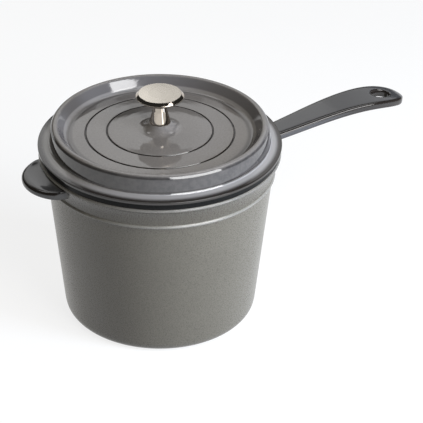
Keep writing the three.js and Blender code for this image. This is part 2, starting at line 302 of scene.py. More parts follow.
def finished_piece(name, bm, finishes, body, nodes=(), smoothing=0):
    """Makes a drawn shape a piece in metres that rides on a body."""
    bmesh.ops.remove_doubles(bm, verts=bm.verts, dist=WELD_GAP)
    bmesh.ops.recalc_face_normals(bm, faces=bm.faces)
    bmesh.ops.scale(bm, vec=(MM, MM, MM), verts=bm.verts)
    for face in bm.faces:
        face.smooth = True
    mesh = bpy.data.meshes.new(name)
    bm.to_mesh(mesh)
    bm.free()
    for finish in finishes:
        mesh.materials.append(finish)
    piece = placed(name, mesh)
    if smoothing:
        smooth = piece.modifiers.new("smooth casting", "SUBSURF")
        smooth.levels = smoothing
        smooth.render_levels = smoothing
    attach(piece, body)
    if nodes:
        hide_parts(*nodes)


# Finishes


def new_finish(name):
    """A node material, its tree and its shader."""
    finish = bpy.data.materials.new(name)
    finish.use_nodes = True
    tree = finish.node_tree
    return finish, tree, tree.nodes["Principled BSDF"]


def add_node(tree, kind, sockets=(), **settings):
    """Adds a node; sockets pairs an input with a number or with the output that feeds it."""
    made = tree.nodes.new(kind)
    for key, value in settings.items():
        setattr(made, key, value)
    for socket, value in sockets:
        if isinstance(value, bpy.types.NodeSocket):
            tree.links.new(value, made.inputs[socket])
        else:
            made.inputs[socket].default_value = value
    return made


def feed(tree, shader, socket, value):
    """Links a node's output to a socket of the shader."""
    tree.links.new(value, shader.inputs[socket])


def noise(tree, place, scale, detail, roughness=0.5):
    """Value of a noise pattern; scale is in lumps per metre."""
    sockets = (("Vector", place), ("Scale", scale), ("Detail", detail), ("Roughness", roughness))
    return add_node(tree, "ShaderNodeTexNoise", sockets).outputs["Fac"]


def ramp(tree, value, low, high, to_low=0.0, to_high=1.0):
    """Takes a value smoothly from to_low at low to to_high at high."""
    sockets = (
        ("Value", value),
        ("From Min", low),
        ("From Max", high),
        ("To Min", to_low),
        ("To Max", to_high),
    )
    made = add_node(tree, "ShaderNodeMapRange", sockets, interpolation_type="SMOOTHSTEP")
    return made.outputs["Result"]


def ramp_mm(tree, value, low, high, to_low=0.0, to_high=1.0):
    """As ramp, for a place in metres between two places in millimetres."""
    return ramp(tree, value, low * MM, high * MM, to_low, to_high)


def by_pattern(tree, pattern, to_low=0.0, to_high=1.0):
    """Takes the usual spread of a noise pattern, 0.3 to 0.7, to values between to_low and to_high."""
    return ramp(tree, pattern, 0.3, 0.7, to_low, to_high)


def cloud_share(tree, place, scale):
    """A share of up to a quarter that comes and goes in soft clouds."""
    return ramp(tree, noise(tree, place, scale, 3), 0.35, 0.70, 0.0, 0.25)


def math_node(tree, operation, first, second=0.0):
    """Result of one operation on one or two values."""
    return add_node(tree, "ShaderNodeMath", ((0, first), (1, second)), operation=operation).outputs[0]


def blend(tree, share, first, second):
    """Mixes two colours by a share."""
    sockets = ((0, share), (6, first), (7, second))
    return add_node(tree, "ShaderNodeMix", sockets, data_type="RGBA").outputs[2]


def colour(red, green, blue):
    """An opaque colour."""
    return (red, green, blue, 1.0)


def object_place(tree):
    """Object coordinates, in metres."""
    return add_node(tree, "ShaderNodeTexCoord").outputs["Object"]


def height_of(tree, place):
    """The upward part of a place, in metres, or of a direction."""
    return add_node(tree, "ShaderNodeSeparateXYZ", (("Vector", place),)).outputs["Z"]


def axis_distance(tree, place):
    """Distance from the pot's axis, in metres."""
    parts = add_node(tree, "ShaderNodeSeparateXYZ", (("Vector", place),)).outputs
    across = add_node(tree, "ShaderNodeCombineXYZ", (("X", parts["X"]), ("Y", parts["Y"]))).outputs[0]
    return add_node(tree, "ShaderNodeVectorMath", ((0, across),), operation="LENGTH").outputs["Value"]


def turning_marks(tree, radius, scale, detail):
    """Noise that runs round the axis in rings, as a lathe leaves it."""
    along = add_node(tree, "ShaderNodeCombineXYZ", (("X", radius),)).outputs[0]
    return noise(tree, along, scale, detail)


def bump(tree, height, strength, distance, under=None):
    """A normal from a height pattern, on top of another normal where one is given."""
    sockets = [("Height", height), ("Strength", strength), ("Distance", distance)]
    if under:
        sockets.append(("Normal", under))
    return add_node(tree, "ShaderNodeBump", sockets).outputs["Normal"]


def near_ring(tree, value, ring, full, gone):
    """1 within full of a ring's radius or height, fading to 0 at gone, all three in millimetres."""
    off = math_node(tree, "ABSOLUTE", math_node(tree, "SUBTRACT", value, ring * MM))
    return ramp_mm(tree, off, full, gone, 1.0, 0.0)


def painted(tree, layer):
    """A value painted on the casting's vertices."""
    return add_node(tree, "ShaderNodeAttribute", attribute_name=layer).outputs["Fac"]


def edge_depth(tree, start, full):
    """1 where the glaze has run thin over an edge and where painted shade darkens a crease, from the
    painted depths.
    """
    return ramp(tree, painted(tree, "glaze_edge_and_painted_shade"), start, full)


GREY_DEEP = colour(0.016, 0.013, 0.011)
GREY_GRIP = colour(0.056, 0.056, 0.058)


def pot_enamel():
    """Satin grey: grainy, darker on the grips, with painted shade on the collar and painted highlights on
    the rib's and collar's crests.
    """
    finish, tree, shader = new_finish("pot_grey_enamel")
    place = object_place(tree)
    height = height_of(tree, place)
    grain = noise(tree, place, 1300, 2, 0.6)
    glaze = blend(tree, by_pattern(tree, grain), colour(0.088, 0.079, 0.061), colour(0.124, 0.113, 0.088))
    glaze = blend(tree, cloud_share(tree, place, 40), glaze, colour(0.088, 0.079, 0.061))
    # Painted shade darkening the collar
    collar_painted_shade = ramp_mm(tree, height, COLLAR_PAINTED_SHADE_FROM, COLLAR_PAINTED_SHADE_FULL, 0.0, 0.7)
    glaze = blend(tree, collar_painted_shade, glaze, colour(0.066, 0.059, 0.046))
    # Painted highlights along the rib's crest and the collar's crest
    rib_crest_highlight = near_ring(tree, height, RIB_CREST, 0.8, 1.4)
    glaze = blend(tree, rib_crest_highlight, glaze, colour(0.205, 0.195, 0.172))
    collar_crest_highlight = near_ring(tree, height, COLLAR_CREST, 0.6, 1.0)
    glaze = blend(tree, collar_crest_highlight, glaze, colour(0.165, 0.156, 0.140))
    grips = painted(tree, "grip_share")
    glaze = blend(tree, grips, glaze, GREY_GRIP)
    edges = edge_depth(tree, 0.35, 0.85)
    feed(tree, shader, "Base Color", blend(tree, edges, glaze, GREY_DEEP))
    rough = by_pattern(tree, grain, 0.24, 0.34)
    rough = math_node(tree, "MULTIPLY", rough, ramp(tree, grips, 0.0, 1.0, 1.0, 0.45))
    rough = math_node(tree, "MULTIPLY", rough, ramp(tree, edges, 0.0, 1.0, 1.0, 0.5))
    feed(tree, shader, "Roughness", rough)
    peel = bump(tree, noise(tree, place, 260, 2), 0.10, 0.0006)
    feed(tree, shader, "Normal", bump(tree, grain, 0.10, 0.00010, peel))
    shader.inputs["IOR"].default_value = 1.6
    return finish


def lid_enamel():
    """Glossy grey: near black in the grooves, with painted shade on the raised face, the inner slope and
    the floor's outer crease, and painted highlights on the flange and the slope's foot.
    """
    finish, tree, shader = new_finish("lid_grey_enamel")
    place = object_place(tree)
    radius = axis_distance(tree, place)
    grain = noise(tree, place, 800, 2, 0.6)
    glaze = blend(tree, by_pattern(tree, grain), colour(0.162, 0.150, 0.139), colour(0.194, 0.180, 0.168))
    glaze = blend(tree, cloud_share(tree, place, 45), glaze, colour(0.152, 0.142, 0.133))
    for ring in GROOVES:
        glaze = blend(tree, near_ring(tree, radius, ring, 0.5, 1.0), glaze, GREY_DEEP)
    # Painted shade on the raised outer face, with a soft mottle
    mottle = ramp(tree, noise(tree, place, 210, 3, 0.6), 0.35, 0.65)
    raised_face_shade = blend(tree, mottle, colour(0.049, 0.046, 0.045), colour(0.067, 0.062, 0.059))
    past_rim = ramp_mm(tree, radius, *RAISED_FACE_STARTS)
    before_flange = ramp_mm(tree, radius, *RAISED_FACE_ENDS, 1.0, 0.0)
    glaze = blend(tree, math_node(tree, "MULTIPLY", past_rim, before_flange), glaze, raised_face_shade)
    # Painted highlight: the flange paler than the floor
    flange_highlight = ramp_mm(tree, radius, *FLANGE_HIGHLIGHT_STARTS)
    glaze = blend(tree, flange_highlight, glaze, colour(0.285, 0.275, 0.27))
    # Painted shade on the raised rim's inner slope
    inner_slope_shade = near_ring(tree, radius, INNER_SLOPE, 1.8, 3.0)
    glaze = blend(tree, inner_slope_shade, glaze, colour(0.122, 0.115, 0.113))
    # Painted highlight in a ring at the foot of the inner slope
    slope_foot_highlight = near_ring(tree, radius, SLOPE_FOOT, 0.7, 1.6)
    glaze = blend(tree, slope_foot_highlight, glaze, colour(0.235, 0.222, 0.210))
    # Painted shadow in a ring inside the floor's outer crease
    floor_crease_shadow = near_ring(tree, radius, FLOOR_CREASE, 0.6, 3.4)
    glaze = blend(tree, floor_crease_shadow, glaze, colour(0.090, 0.082, 0.077))
    edges = edge_depth(tree, 0.30, 1.0)
    feed(tree, shader, "Base Color", blend(tree, edges, glaze, GREY_DEEP))
    feed(tree, shader, "Roughness", by_pattern(tree, grain, 0.05, 0.09))
    feed(tree, shader, "Normal", bump(tree, noise(tree, place, 240, 2), 0.05, 0.0006))
    shader.inputs["IOR"].default_value = 1.7
    return finish


def black_enamel():
    """Matte black with a fine pebble, for the rim, the inside and the undersides."""
    finish, tree, shader = new_finish("matte_black_enamel")
    place = object_place(tree)
    flecks = noise(tree, place, 900, 3)
    tone = blend(tree, flecks, colour(0.004, 0.004, 0.004), colour(0.009, 0.009, 0.009))
    feed(tree, shader, "Base Color", tone)
    feed(tree, shader, "Roughness", by_pattern(tree, flecks, 0.26, 0.38))
    feed(tree, shader, "Normal", bump(tree, noise(tree, place, 700, 2), 0.30, 0.0003))
    shader.inputs["Specular IOR Level"].default_value = 0.12
    return finish


def knob_nickel():
    """Polished nickel with a brushed top."""
    finish, tree, shader = new_finish("knob_nickel")
    place = object_place(tree)
    haze = noise(tree, place, 130, 3)
    top = ramp_mm(tree, height_of(tree, place), BRUSHED_FROM, BRUSHED_FULL)
    polished = blend(tree, haze, colour(0.50, 0.45, 0.39), colour(0.56, 0.50, 0.43))
    brushed = blend(tree, haze, colour(0.68, 0.63, 0.56), colour(0.74, 0.69, 0.61))
    feed(tree, shader, "Base Color", blend(tree, top, polished, brushed))
    shader.inputs["Metallic"].default_value = 1.0
    rings = turning_marks(tree, axis_distance(tree, place), 5200, 2)
    satin = math_node(tree, "MULTIPLY", top, by_pattern(tree, rings, 0.13, 0.19))
    polish = by_pattern(tree, haze, 0.05, 0.09)
    feed(tree, shader, "Roughness", math_node(tree, "ADD", satin, polish))
    feed(tree, shader, "Normal", bump(tree, rings, 0.015, 0.0001))
    return finish


def screw_steel():
    """Plain turned steel."""
    finish, tree, shader = new_finish("screw_steel")
    place = object_place(tree)
    wear = noise(tree, place, 900, 3)
    tone = blend(tree, wear, colour(0.50, 0.50, 0.50), colour(0.62, 0.62, 0.61))
    feed(tree, shader, "Base Color", tone)
    shader.inputs["Metallic"].default_value = 1.0
    feed(tree, shader, "Roughness", by_pattern(tree, wear, 0.24, 0.40))
    rings = turning_marks(tree, axis_distance(tree, place), 4000, 1)
    feed(tree, shader, "Normal", bump(tree, rings, 0.10, 0.0001))
    return finish


POT_GREY = pot_enamel()
LID_GREY = lid_enamel()
MATTE_BLACK = black_enamel()
NICKEL = knob_nickel()
STEEL = screw_steel()


# Pot, handle and ear: one casting


def wall_radius(height):
    """Radius of the pot's outside at a height below the rib."""
    return BASE_RADIUS + WALL_TAPER * height


def inside_radius(height):
    """Radius of the pot's inside at a height."""
    return wall_radius(height) - WALL


# From the middle of the underside: base, wall, rib, collar with its crest, black rim
POT_OUTSIDE = (
    Corner(0.0, 0.0),
    Corner(BASE_FLAT, 0.0),
    Corner(BASE_RADIUS, 0.0, BASE_CORNER, 4),
    *(Corner(wall_radius(height), height) for height in WALL_HEIGHTS),
    # Painted shadow under the rib
    Corner(90.6, 124.2, glaze=0.7),
    Corner(92.4, 124.8),
    Corner(92.5, RIB_CREST),
    Corner(91.7, 126.5),
    # Painted shade in the crease above the rib
    Corner(91.1, 127.1, glaze=0.48),
    Corner(91.2, 127.8, glaze=0.3),
    Corner(91.6, 129.6),
    Corner(92.05, GRIP_BOTTOM),
    Corner(92.9, GRIP_MIDDLE),
    Corner(94.9, GRIP_TOP),
    Corner(96.1, 141.1),
    Corner(96.7, 141.9),
    Corner(96.5, 142.9),
    Corner(95.9, 143.45),
    Corner(RIM_RADIUS, 143.75),
    Corner(RIM_RADIUS, 144.6),
    Corner(RIM_RADIUS, 146.8),
    Corner(RIM_RADIUS, POT_HEIGHT),
    Corner(93.8, POT_HEIGHT),
)
POT_INSIDE = (
    Corner(inside_radius(POT_HEIGHT) + INSIDE_LIP, POT_HEIGHT),
    Corner(inside_radius(POT_HEIGHT), POT_HEIGHT),
    *(Corner(inside_radius(height), height) for height in INSIDE_HEIGHTS),
    Corner(inside_radius(POT_FLOOR), POT_FLOOR, POT_FLOOR_CORNER, 3),
    Corner(POT_FLOOR_FLAT, POT_FLOOR),
    Corner(0.0, POT_FLOOR),
)


def painted_layers(bm):
    """The casting's painted values: how far thin glaze and painted shade darken it, and how far it is a
    grip.
    """
    layers = bm.verts.layers.float
    return layers["glaze_edge_and_painted_shade"], layers["grip_share"]


def turn_from(place, middle):
    """How far a place lies round the axis from a middle direction."""
    turn = math.atan2(place.y, place.x) - middle
    return (turn + math.pi) % FULL_TURN - math.pi


def wall_patch(bm, middle, columns):
    """Faces of the collar's outside that a grip is pulled out of, and their vertices by row and column."""
    faces = []
    for face in bm.faces:
        spot = face.calc_center_median()
        outside = math.hypot(spot.x, spot.y) > COLLAR_RADIUS
        level = GRIP_BOTTOM < spot.z < GRIP_TOP
        if outside and level and abs(turn_from(spot, middle)) < columns * POT_STEP / 2:
            faces.append(face)
    grid = {}
    for vert in {vert for face in faces for vert in face.verts}:
        row = min(range(len(GRIP_LEVELS)), key=lambda k: abs(GRIP_LEVELS[k] - vert.co.z))
        column = round(turn_from(vert.co, middle) / POT_STEP + columns / 2)
        grid[row, column] = vert
    return faces, grid


def pulled_out(bm, faces, grid):
    """Extrudes a patch and keeps its rows and columns."""
    keys = {tuple(round(part, 3) for part in vert.co): key for key, vert in grid.items()}
    edges = {edge for face in faces for edge in face.edges}
    verts = {vert for face in faces for vert in face.verts}
    made = bmesh.ops.extrude_face_region(bm, geom=list(faces) + list(edges) + list(verts))["geom"]
    new_faces = [part for part in made if isinstance(part, bmesh.types.BMFace)]
    new_verts = [part for part in made if isinstance(part, bmesh.types.BMVert)]
    new_grid = {keys[tuple(round(part, 3) for part in vert.co)]: vert for vert in new_verts}
    return new_faces, new_grid


def bezier(pulls, share):
    """Height on a four-point curve."""
    rest = 1 - share
    return (rest ** 3 * pulls[0] + 3 * rest ** 2 * share * pulls[1]
            + 3 * rest * share ** 2 * pulls[2] + share ** 3 * pulls[3])


def handle_heights(x):
    """Bottom, middle and top of the handle at x."""
    share = (x - HANDLE_ROOT) / (HANDLE_TIP - HANDLE_ROOT)
    bottom = bezier(HANDLE_BOTTOM_PULLS, share)
    top = bezier(HANDLE_TOP_PULLS, share)
    return bottom, (bottom + top) / 2, top


def handle_half_width(x):
    """Half the handle's width at x: a curve that swells out to the belly, then a full rounded end."""
    if x > HANDLE_BELLY:
        end = (x - HANDLE_BELLY) / (HANDLE_TIP - HANDLE_BELLY)
        return HANDLE_HALF * max(0.0, 1 - end ** HANDLE_END_FULLNESS) ** (1 / HANDLE_END_FULLNESS)
    slope = 2 * (HANDLE_SWELL - HANDLE_ROOT)
    bend = 2 * HANDLE_SWELL - HANDLE_ROOT - HANDLE_BELLY
    share = (slope - math.sqrt(slope ** 2 - 4 * bend * (x - HANDLE_ROOT))) / (2 * bend)
    return HANDLE_HALF - (HANDLE_HALF - HANDLE_ROOT_HALF) * (1 - share) ** 2


def handle_level(x, row, column):
    """Height of one corner of the handle's section: the outer corners are eased towards the middle."""
    ease = HANDLE_SHOULDER if column in (0, HANDLE_COLUMNS) else 0.0
    return handle_heights(x)[row] + (ease, 0.0, -ease)[row]


def handle_side_shade(x):
    """How far painted shade darkens the handle's sides at x: deeper towards the tip."""
    return HANDLE_SIDE_SHADE * min(1.0, max(0.0, (x - HANDLE_SIDE_SHADE_FROM) / HANDLE_SIDE_SHADE_RUN))


def pull_handle(bm):
    """Draws the long handle out of the wall, station by station, and rounds off its tip."""
    glaze, grip = painted_layers(bm)
    faces, grid = wall_patch(bm, 0.0, HANDLE_COLUMNS)
    for x in HANDLE_STATIONS:
        faces, grid = pulled_out(bm, faces, grid)
        half = handle_half_width(x)
        across = (-half, HANDLE_EDGE - half, 0, half - HANDLE_EDGE, half)
        for (row, column), vert in grid.items():
            vert.co = (x, across[column], handle_level(x, row, column))
            vert[grip] = 1.0
            # Middle row: painted shade on the sides; top and bottom rows: glaze run thin over the edges
            vert[glaze] = handle_side_shade(x) if row == MIDDLE_ROW else HANDLE_GLAZE[column]
    for tip in TIP_STATIONS:
        faces, grid = pulled_out(bm, faces, grid)
        along = (tip.outer, tip.inner, tip.middle, tip.inner, tip.outer)
        inner = tip.half * TIP_INNER_SHARE
        across = (-tip.half, -inner, 0, inner, tip.half)
        thinning = (tip.ease, tip.ease / 4, -tip.ease / 2)
        for (row, column), vert in grid.items():
            level = handle_level(min(along[column], HANDLE_TIP), row, column)
            vert.co = (along[column], across[column], level + thinning[row])
            vert[grip] = 1.0
            # Painted shade on the tip's sides
            vert[glaze] = HANDLE_SIDE_SHADE if row == MIDDLE_ROW else 0.0
            if row != MIDDLE_ROW and (column in (0, HANDLE_COLUMNS) or tip == TIP_STATIONS[-1]):
                vert[glaze] = 1.0


def hole_faces(bm):
    """Faces of the handle's underside and top that the hanging hole goes through, by row."""
    sides = {BOTTOM_ROW: [], TOP_ROW: []}
    for face in bm.faces:
        spot = face.calc_center_median()
        if abs(spot.x - HOLE_MIDDLE) > HOLE_REACH or abs(face.normal.z) < HOLE_FACE_TILT:
            continue
        if abs(spot.y) < handle_half_width(spot.x) - HANDLE_EDGE:
            row = TOP_ROW if spot.z > handle_heights(spot.x)[MIDDLE_ROW] else BOTTOM_ROW
            sides[row].append(face)
    return sides


def lay_round_hole(verts, lip, row):
    """Lays a loop of vertices round the hole, grown so that smoothing brings it to size."""
    grown = 6 / (4 + 2 * math.cos(FULL_TURN / len(verts)))
    middle = Vector((HOLE_MIDDLE, 0, 0))
    ordered = sorted(verts, key=lambda vert: math.atan2(vert.co.y, vert.co.x - HOLE_MIDDLE) % FULL_TURN)
    first = min(range(len(ordered)), key=lambda k: abs(turn_from(ordered[k].co - middle, 0)))
    for k, vert in enumerate(ordered[first:] + ordered[:first]):
        turn = FULL_TURN * k / len(ordered)
        x = HOLE_MIDDLE + (HOLE_HALF_LENGTH + lip) * grown * math.cos(turn)
        y = (HOLE_HALF_WIDTH + lip) * grown * math.sin(turn)
        vert.co = (x, y, handle_heights(x)[row])


def pierce_handle(bm):
    """Cuts the hanging hole, slightly narrower below, with a rounded lip."""
    glaze, grip = painted_layers(bm)
    lips = {TOP_ROW: (HOLE_LIP, 0.0), BOTTOM_ROW: (HOLE_LIP - HOLE_DRAFT, -HOLE_DRAFT)}
    rims = []
    for row, faces in hole_faces(bm).items():
        for lip in lips[row]:
            bmesh.ops.inset_region(bm, faces=faces, thickness=HOLE_INSET, use_even_offset=True)
            edges = {edge for face in faces for edge in face.edges}
            rim = [edge for edge in edges if sum(face in faces for face in edge.link_faces) == 1]
            verts = {vert for edge in rim for vert in edge.verts}
            lay_round_hole(verts, lip, row)
            for vert in verts:
                vert[glaze] = 1.0 if lip <= 0 else 0.0
                vert[grip] = 1.0
        bmesh.ops.delete(bm, geom=faces, context="FACES")
        rims += rim
    wall = bmesh.ops.bridge_loops(bm, edges=[edge for edge in rims if edge.is_valid])["faces"]
    uprights = {edge for face in wall for edge in face.edges
                if abs(edge.verts[0].co.z - edge.verts[1].co.z) > HOLE_WALL_HEIGHT}
    bmesh.ops.subdivide_edges(bm, edges=list(uprights), cuts=1, use_grid_fill=True)


def ear_outline(column):
    """A point of the ear's rounded outline, at height 0."""
    turn = EAR_SWEEP * (2 * column / EAR_COLUMNS - 1)
    x = EAR_MIDDLE - EAR_HALF_LENGTH * math.cos(turn)
    y = -EAR_HALF_WIDTH * math.sin(turn)
    return Vector((x, y, 0))


def pull_ear(bm):
    """Draws the ear out of the wall to its rounded outline, with a shallow dish on top."""
    glaze, grip = painted_layers(bm)
    faces, grid = wall_patch(bm, math.pi, EAR_COLUMNS)
    roots = {key: vert.co.copy() for key, vert in grid.items()}
    for station, sink in enumerate(EAR_DISH):
        faces, grid = pulled_out(bm, faces, grid)
        at_edge = station == EAR_EDGE_STATION
        for (row, column), vert in grid.items():
            root = roots[row, column]
            edge = ear_outline(column) + Vector((0, 0, EAR_LEVELS[row]))
            shares = (*EAR_ROOT_SHARES, 1 - EAR_BORDER / (edge - root).length, 1.0)
            vert.co = root.lerp(edge, shares[station])
            vert[grip] = 1.0 if station else 0.5
            bare = row != MIDDLE_ROW and (at_edge or column in (0, EAR_COLUMNS))
            vert[glaze] = 1.0 if bare else 0.0
            if row == TOP_ROW and station == EAR_BORDER_STATION:
                vert[glaze] = 0.5
            if row == TOP_ROW and 1 < column < EAR_COLUMNS - 1:
                vert.co.z -= sink
            if at_edge:
                vert.co.z += (EAR_SHOULDER, 0.0, -EAR_SHOULDER)[row]


def make_pot():
    """The pot with its handle and ear, black inside, on the rim and below."""
    bm = bmesh.new()
    drawn_wire(bm, POT_OUTSIDE + POT_INSIDE, closed=False)
    turned(bm, POT_STEPS)
    bmesh.ops.recalc_face_normals(bm, faces=bm.faces)
    pull_handle(bm)
    pierce_handle(bm)
    pull_ear(bm)
    for face in bm.faces:
        spot = face.calc_center_median()
        reach = math.hypot(spot.x, spot.y)
        inside = reach < inside_radius(spot.z) + BLACK_MARGIN and spot.z > POT_FLOOR - BLACK_MARGIN
        underside = spot.z < UNDERSIDE_TOP and reach < BLACK_BASE_RADIUS
        rim = spot.z > BLACK_RIM_FROM and reach < BLACK_RIM_REACH
        if inside or underside or rim:
            face.material_index = 1
    finishes = (POT_GREY, MATTE_BLACK)
    finished_piece("saucepan_pot", bm, finishes, "pot", ("pot_casting",), 2)


# Lid


def dome(radius):
    """Height of the lid's floor: a shallow dome, with a disc inside the inner groove that bulges more."""
    if radius < GROOVES[0]:
        return dome(GROOVES[0]) + DISC_RISE * (1 - (radius / GROOVES[0]) ** 3)
    return LID_CROWN - radius ** 2 / DOME_SPAN


def on_dome(radius, above=0.0):
    """A corner on the lid's floor, or above it."""
    return Corner(radius, dome(radius) + above)


def ceiling(radius):
    """Height of the lid's underside."""
    return dome(radius) - LID_THICKNESS


def groove(radius):
    """A fine groove in the lid's floor, from outside in."""
    outer = radius + GROOVE_HALF_WIDTH
    inner = radius - GROOVE_HALF_WIDTH
    bottom = dome(radius) - GROOVE_DEPTH
    return (
        on_dome(outer + GROOVE_SHOULDER),
        on_dome(outer),
        Corner(radius + GROOVE_HALF_FLAT, bottom),
        Corner(radius - GROOVE_HALF_FLAT, bottom),
        on_dome(inner),
        on_dome(inner - GROOVE_SHOULDER),
    )


# From the screw hole out: pad, ceiling, locating ridge
LID_BELOW = (
    Corner(SCREW_HOLE, PAD_HEIGHT),
    Corner(PAD_RADIUS, PAD_HEIGHT),
    *(Corner(radius, ceiling(radius)) for radius in (9.4, 25.0, 45.0, 65.0)),
    Corner(RIDGE_INNER, ceiling(RIDGE_INNER), 2.0, 3),
    Corner(RIDGE_INNER, RIDGE_FOOT, 1.0, 2),
    Corner(RIDGE_OUTER, RIDGE_FOOT, 1.0, 2),
    Corner(RIDGE_OUTER, SEAT, 0.6, 2),
)
# From the edge in: flange, raised face and rim, inner slope, floor with its grooves, boss
LID_ABOVE = (
    Corner(LID_RADIUS, SEAT, 0.4, 2, 1.0),
    Corner(LID_RADIUS, 150.75, 0.4, 3, 1.0),
    # Outer flange darkening towards its edge: painted shade for the dark room it mirrors
    Corner(95.4, 151.0, glaze=0.95),
    Corner(94.1, 151.2, glaze=0.85),
    Corner(92.5, 151.5, glaze=0.58),
    Corner(91.0, 151.8, glaze=0.3),
    Corner(88.5, 152.35, 0.5, 2),
    # Crease at the foot of the raised face: painted shade
    Corner(87.6, 153.5, 0.4, 2, 0.3),
    Corner(87.5, 154.2, glaze=0.9),
    # Top edges of the raised rim: glaze run thin there, with painted shade
    Corner(86.45, 164.9, 0.9, 3, 0.5),
    Corner(85.2, 166.5, 0.9, 3, 0.45),
    Corner(83.9, 167.3),
    Corner(81.4, 167.4, 1.8, 4, 0.2),
    Corner(LID_FLOOR_EDGE, dome(LID_FLOOR_EDGE), 4.0, 4),
    on_dome(66.0),
    *groove(GROOVES[1]),
    on_dome(50.5),
    *groove(GROOVES[0]),
    *(on_dome(radius) for radius in (37.5, 33.0, 27.5, 22.0)),
    on_dome(17.8, 0.1),
    on_dome(14.6, 0.7),
    on_dome(12.0, 1.9),
    on_dome(10.1, 3.5),
    Corner(8.8, BOSS_TOP, 0.6, 2),
    Corner(SCREW_HOLE, BOSS_TOP),
)


def make_lid():
    """The lid, black on its edge and below."""
    bm = bmesh.new()
    drawn_wire(bm, LID_BELOW + LID_ABOVE, closed=True, longest=LID_LONGEST_RUN)
    turned(bm, LID_STEPS)
    for face in bm.faces:
        spot = face.calc_center_median()
        reach = math.hypot(spot.x, spot.y)
        edge = spot.z < SEAT + BLACK_EDGE
        below = reach < BLACK_BELOW_REACH and spot.z < dome(reach) - BLACK_BELOW_DEPTH
        if edge or below:
            face.material_index = 1
    finishes = (LID_GREY, MATTE_BLACK)
    finished_piece("saucepan_lid", bm, finishes, "lid", ("lid_casting",), 1)


# A blunt cone whose root reaches half a millimetre into the lid
NUB_PROFILE = (
    Corner(0.0, -3.0),
    Corner(0.9, -3.0, 0.4, 2),
    Corner(2.6, 0.0),
    Corner(2.6, 0.5),
    Corner(0.0, 0.5),
)


def make_nubs():
    """Basting nubs below the lid: three rings of blunt cones."""
    bm = bmesh.new()
    drawn_wire(bm, NUB_PROFILE, closed=False)
    turned(bm, NUB_STEPS)
    pattern = bm.verts[:] + bm.edges[:] + bm.faces[:]
    for ring in NUB_RINGS:
        count = NUBS_IN_FIRST_RING * ring
        reach = NUB_RING_GAP * ring
        for k in range(count):
            turn = FULL_TURN * (k + ring / 2) / count
            copy = bmesh.ops.duplicate(bm, geom=pattern)["geom"]
            verts = [part for part in copy if isinstance(part, bmesh.types.BMVert)]
            spot = (reach * math.cos(turn), reach * math.sin(turn), ceiling(reach))
            bmesh.ops.translate(bm, vec=spot, verts=verts)
    spare = [part for part in pattern if isinstance(part, bmesh.types.BMVert)]
    bmesh.ops.delete(bm, geom=spare, context="VERTS")
    finished_piece("basting_nubs", bm, (MATTE_BLACK,), "lid")


# Knob and its fixing


def up_knob(radius, above, rounding=0.0, pieces=1):
    """A corner of the knob's outline, by its height above the knob's foot."""
    return Corner(radius, KNOB_FOOT + above, rounding, pieces)


# From the bore's end: bore, foot, conical stem, underside, thin edge, bevel, top
KNOB_PROFILE = (
    up_knob(0.0, KNOB_BORE),
    up_knob(SCREW_HOLE, KNOB_BORE),
    up_knob(SCREW_HOLE, 0.0),
    up_knob(8.5, 0.0, 0.2, 2),
    up_knob(8.4, 0.76),
    up_knob(7.75, 3.26),
    up_knob(6.95, 6.26),
    up_knob(5.85, 10.56),
    up_knob(5.05, 14.36),
    up_knob(5.5, 17.36),
    up_knob(8.2, 19.36),
    up_knob(13.0, 20.86),
    up_knob(KNOB_RADIUS, 22.3, 0.3, 2),
    up_knob(KNOB_RADIUS, 23.1, 0.4, 3),
    up_knob(17.0, 25.46, 0.7, 3),
    up_knob(9.5, 25.76),
    Corner(0.0, KNOB_TOP),
)


def make_knob():
    """The turned knob."""
    bm = bmesh.new()
    drawn_wire(bm, KNOB_PROFILE, closed=False, longest=KNOB_LONGEST_RUN)
    turned(bm, KNOB_STEPS)
    finished_piece("turned_knob", bm, (NICKEL,), "lid", ("lid_knob",), 2)


SCREW_PROFILE = (
    Corner(0.0, SOCKET_TOP),
    Corner(2.2, SOCKET_TOP),
    Corner(SOCKET_RADIUS, SCREW_HEAD_BOTTOM),
    Corner(SCREW_HEAD_RADIUS, SCREW_HEAD_BOTTOM, 1.5, 4),
    Corner(SCREW_HEAD_RADIUS, SCREW_HEAD_TOP, 0.2, 1),
    Corner(SCREW_RADIUS, SCREW_HEAD_TOP),
    Corner(SCREW_RADIUS, SCREW_TIP - SCREW_TIP_BEVEL),
    Corner(2.4, SCREW_TIP),
    Corner(0.0, SCREW_TIP),
)


def make_screw():
    """A round-headed screw with a six-sided socket."""
    bm = bmesh.new()
    drawn_wire(bm, SCREW_PROFILE, closed=False)
    turned(bm, SCREW_STEPS)
    sixth = FULL_TURN / 6
    for vert in bm.verts:
        reach = math.hypot(vert.co.x, vert.co.y)
        if 0.1 < reach < SOCKET_RADIUS + 0.05 and vert.co.z < SOCKET_TOP + 0.2:
            turn = math.atan2(vert.co.y, vert.co.x) % sixth - sixth / 2
            grow = math.cos(sixth / 2) / math.cos(turn)
            vert.co.x *= grow
            vert.co.y *= grow
    finished_piece("knob_fixing_screw", bm, (STEEL,), "lid", ("knob_screw",))


WASHER_PROFILE = (
    Corner(SCREW_HOLE, WASHER_BOTTOM, 0.2, 2),
    Corner(WASHER_RADIUS, WASHER_BOTTOM, 0.35, 2),
    Corner(WASHER_RADIUS, WASHER_TOP, 0.35, 2),
    Corner(SCREW_HOLE, WASHER_TOP, 0.2, 2),
)
SPRING_WASHER_PROFILE = (
    Corner(SCREW_HOLE, SPRING_WASHER_BOTTOM, 0.15),
    Corner(SPRING_WASHER_RADIUS, SPRING_WASHER_BOTTOM, 0.15),
    Corner(SPRING_WASHER_RADIUS, SPRING_WASHER_TOP, 0.15),
    Corner(SCREW_HOLE, SPRING_WASHER_TOP, 0.15),
)


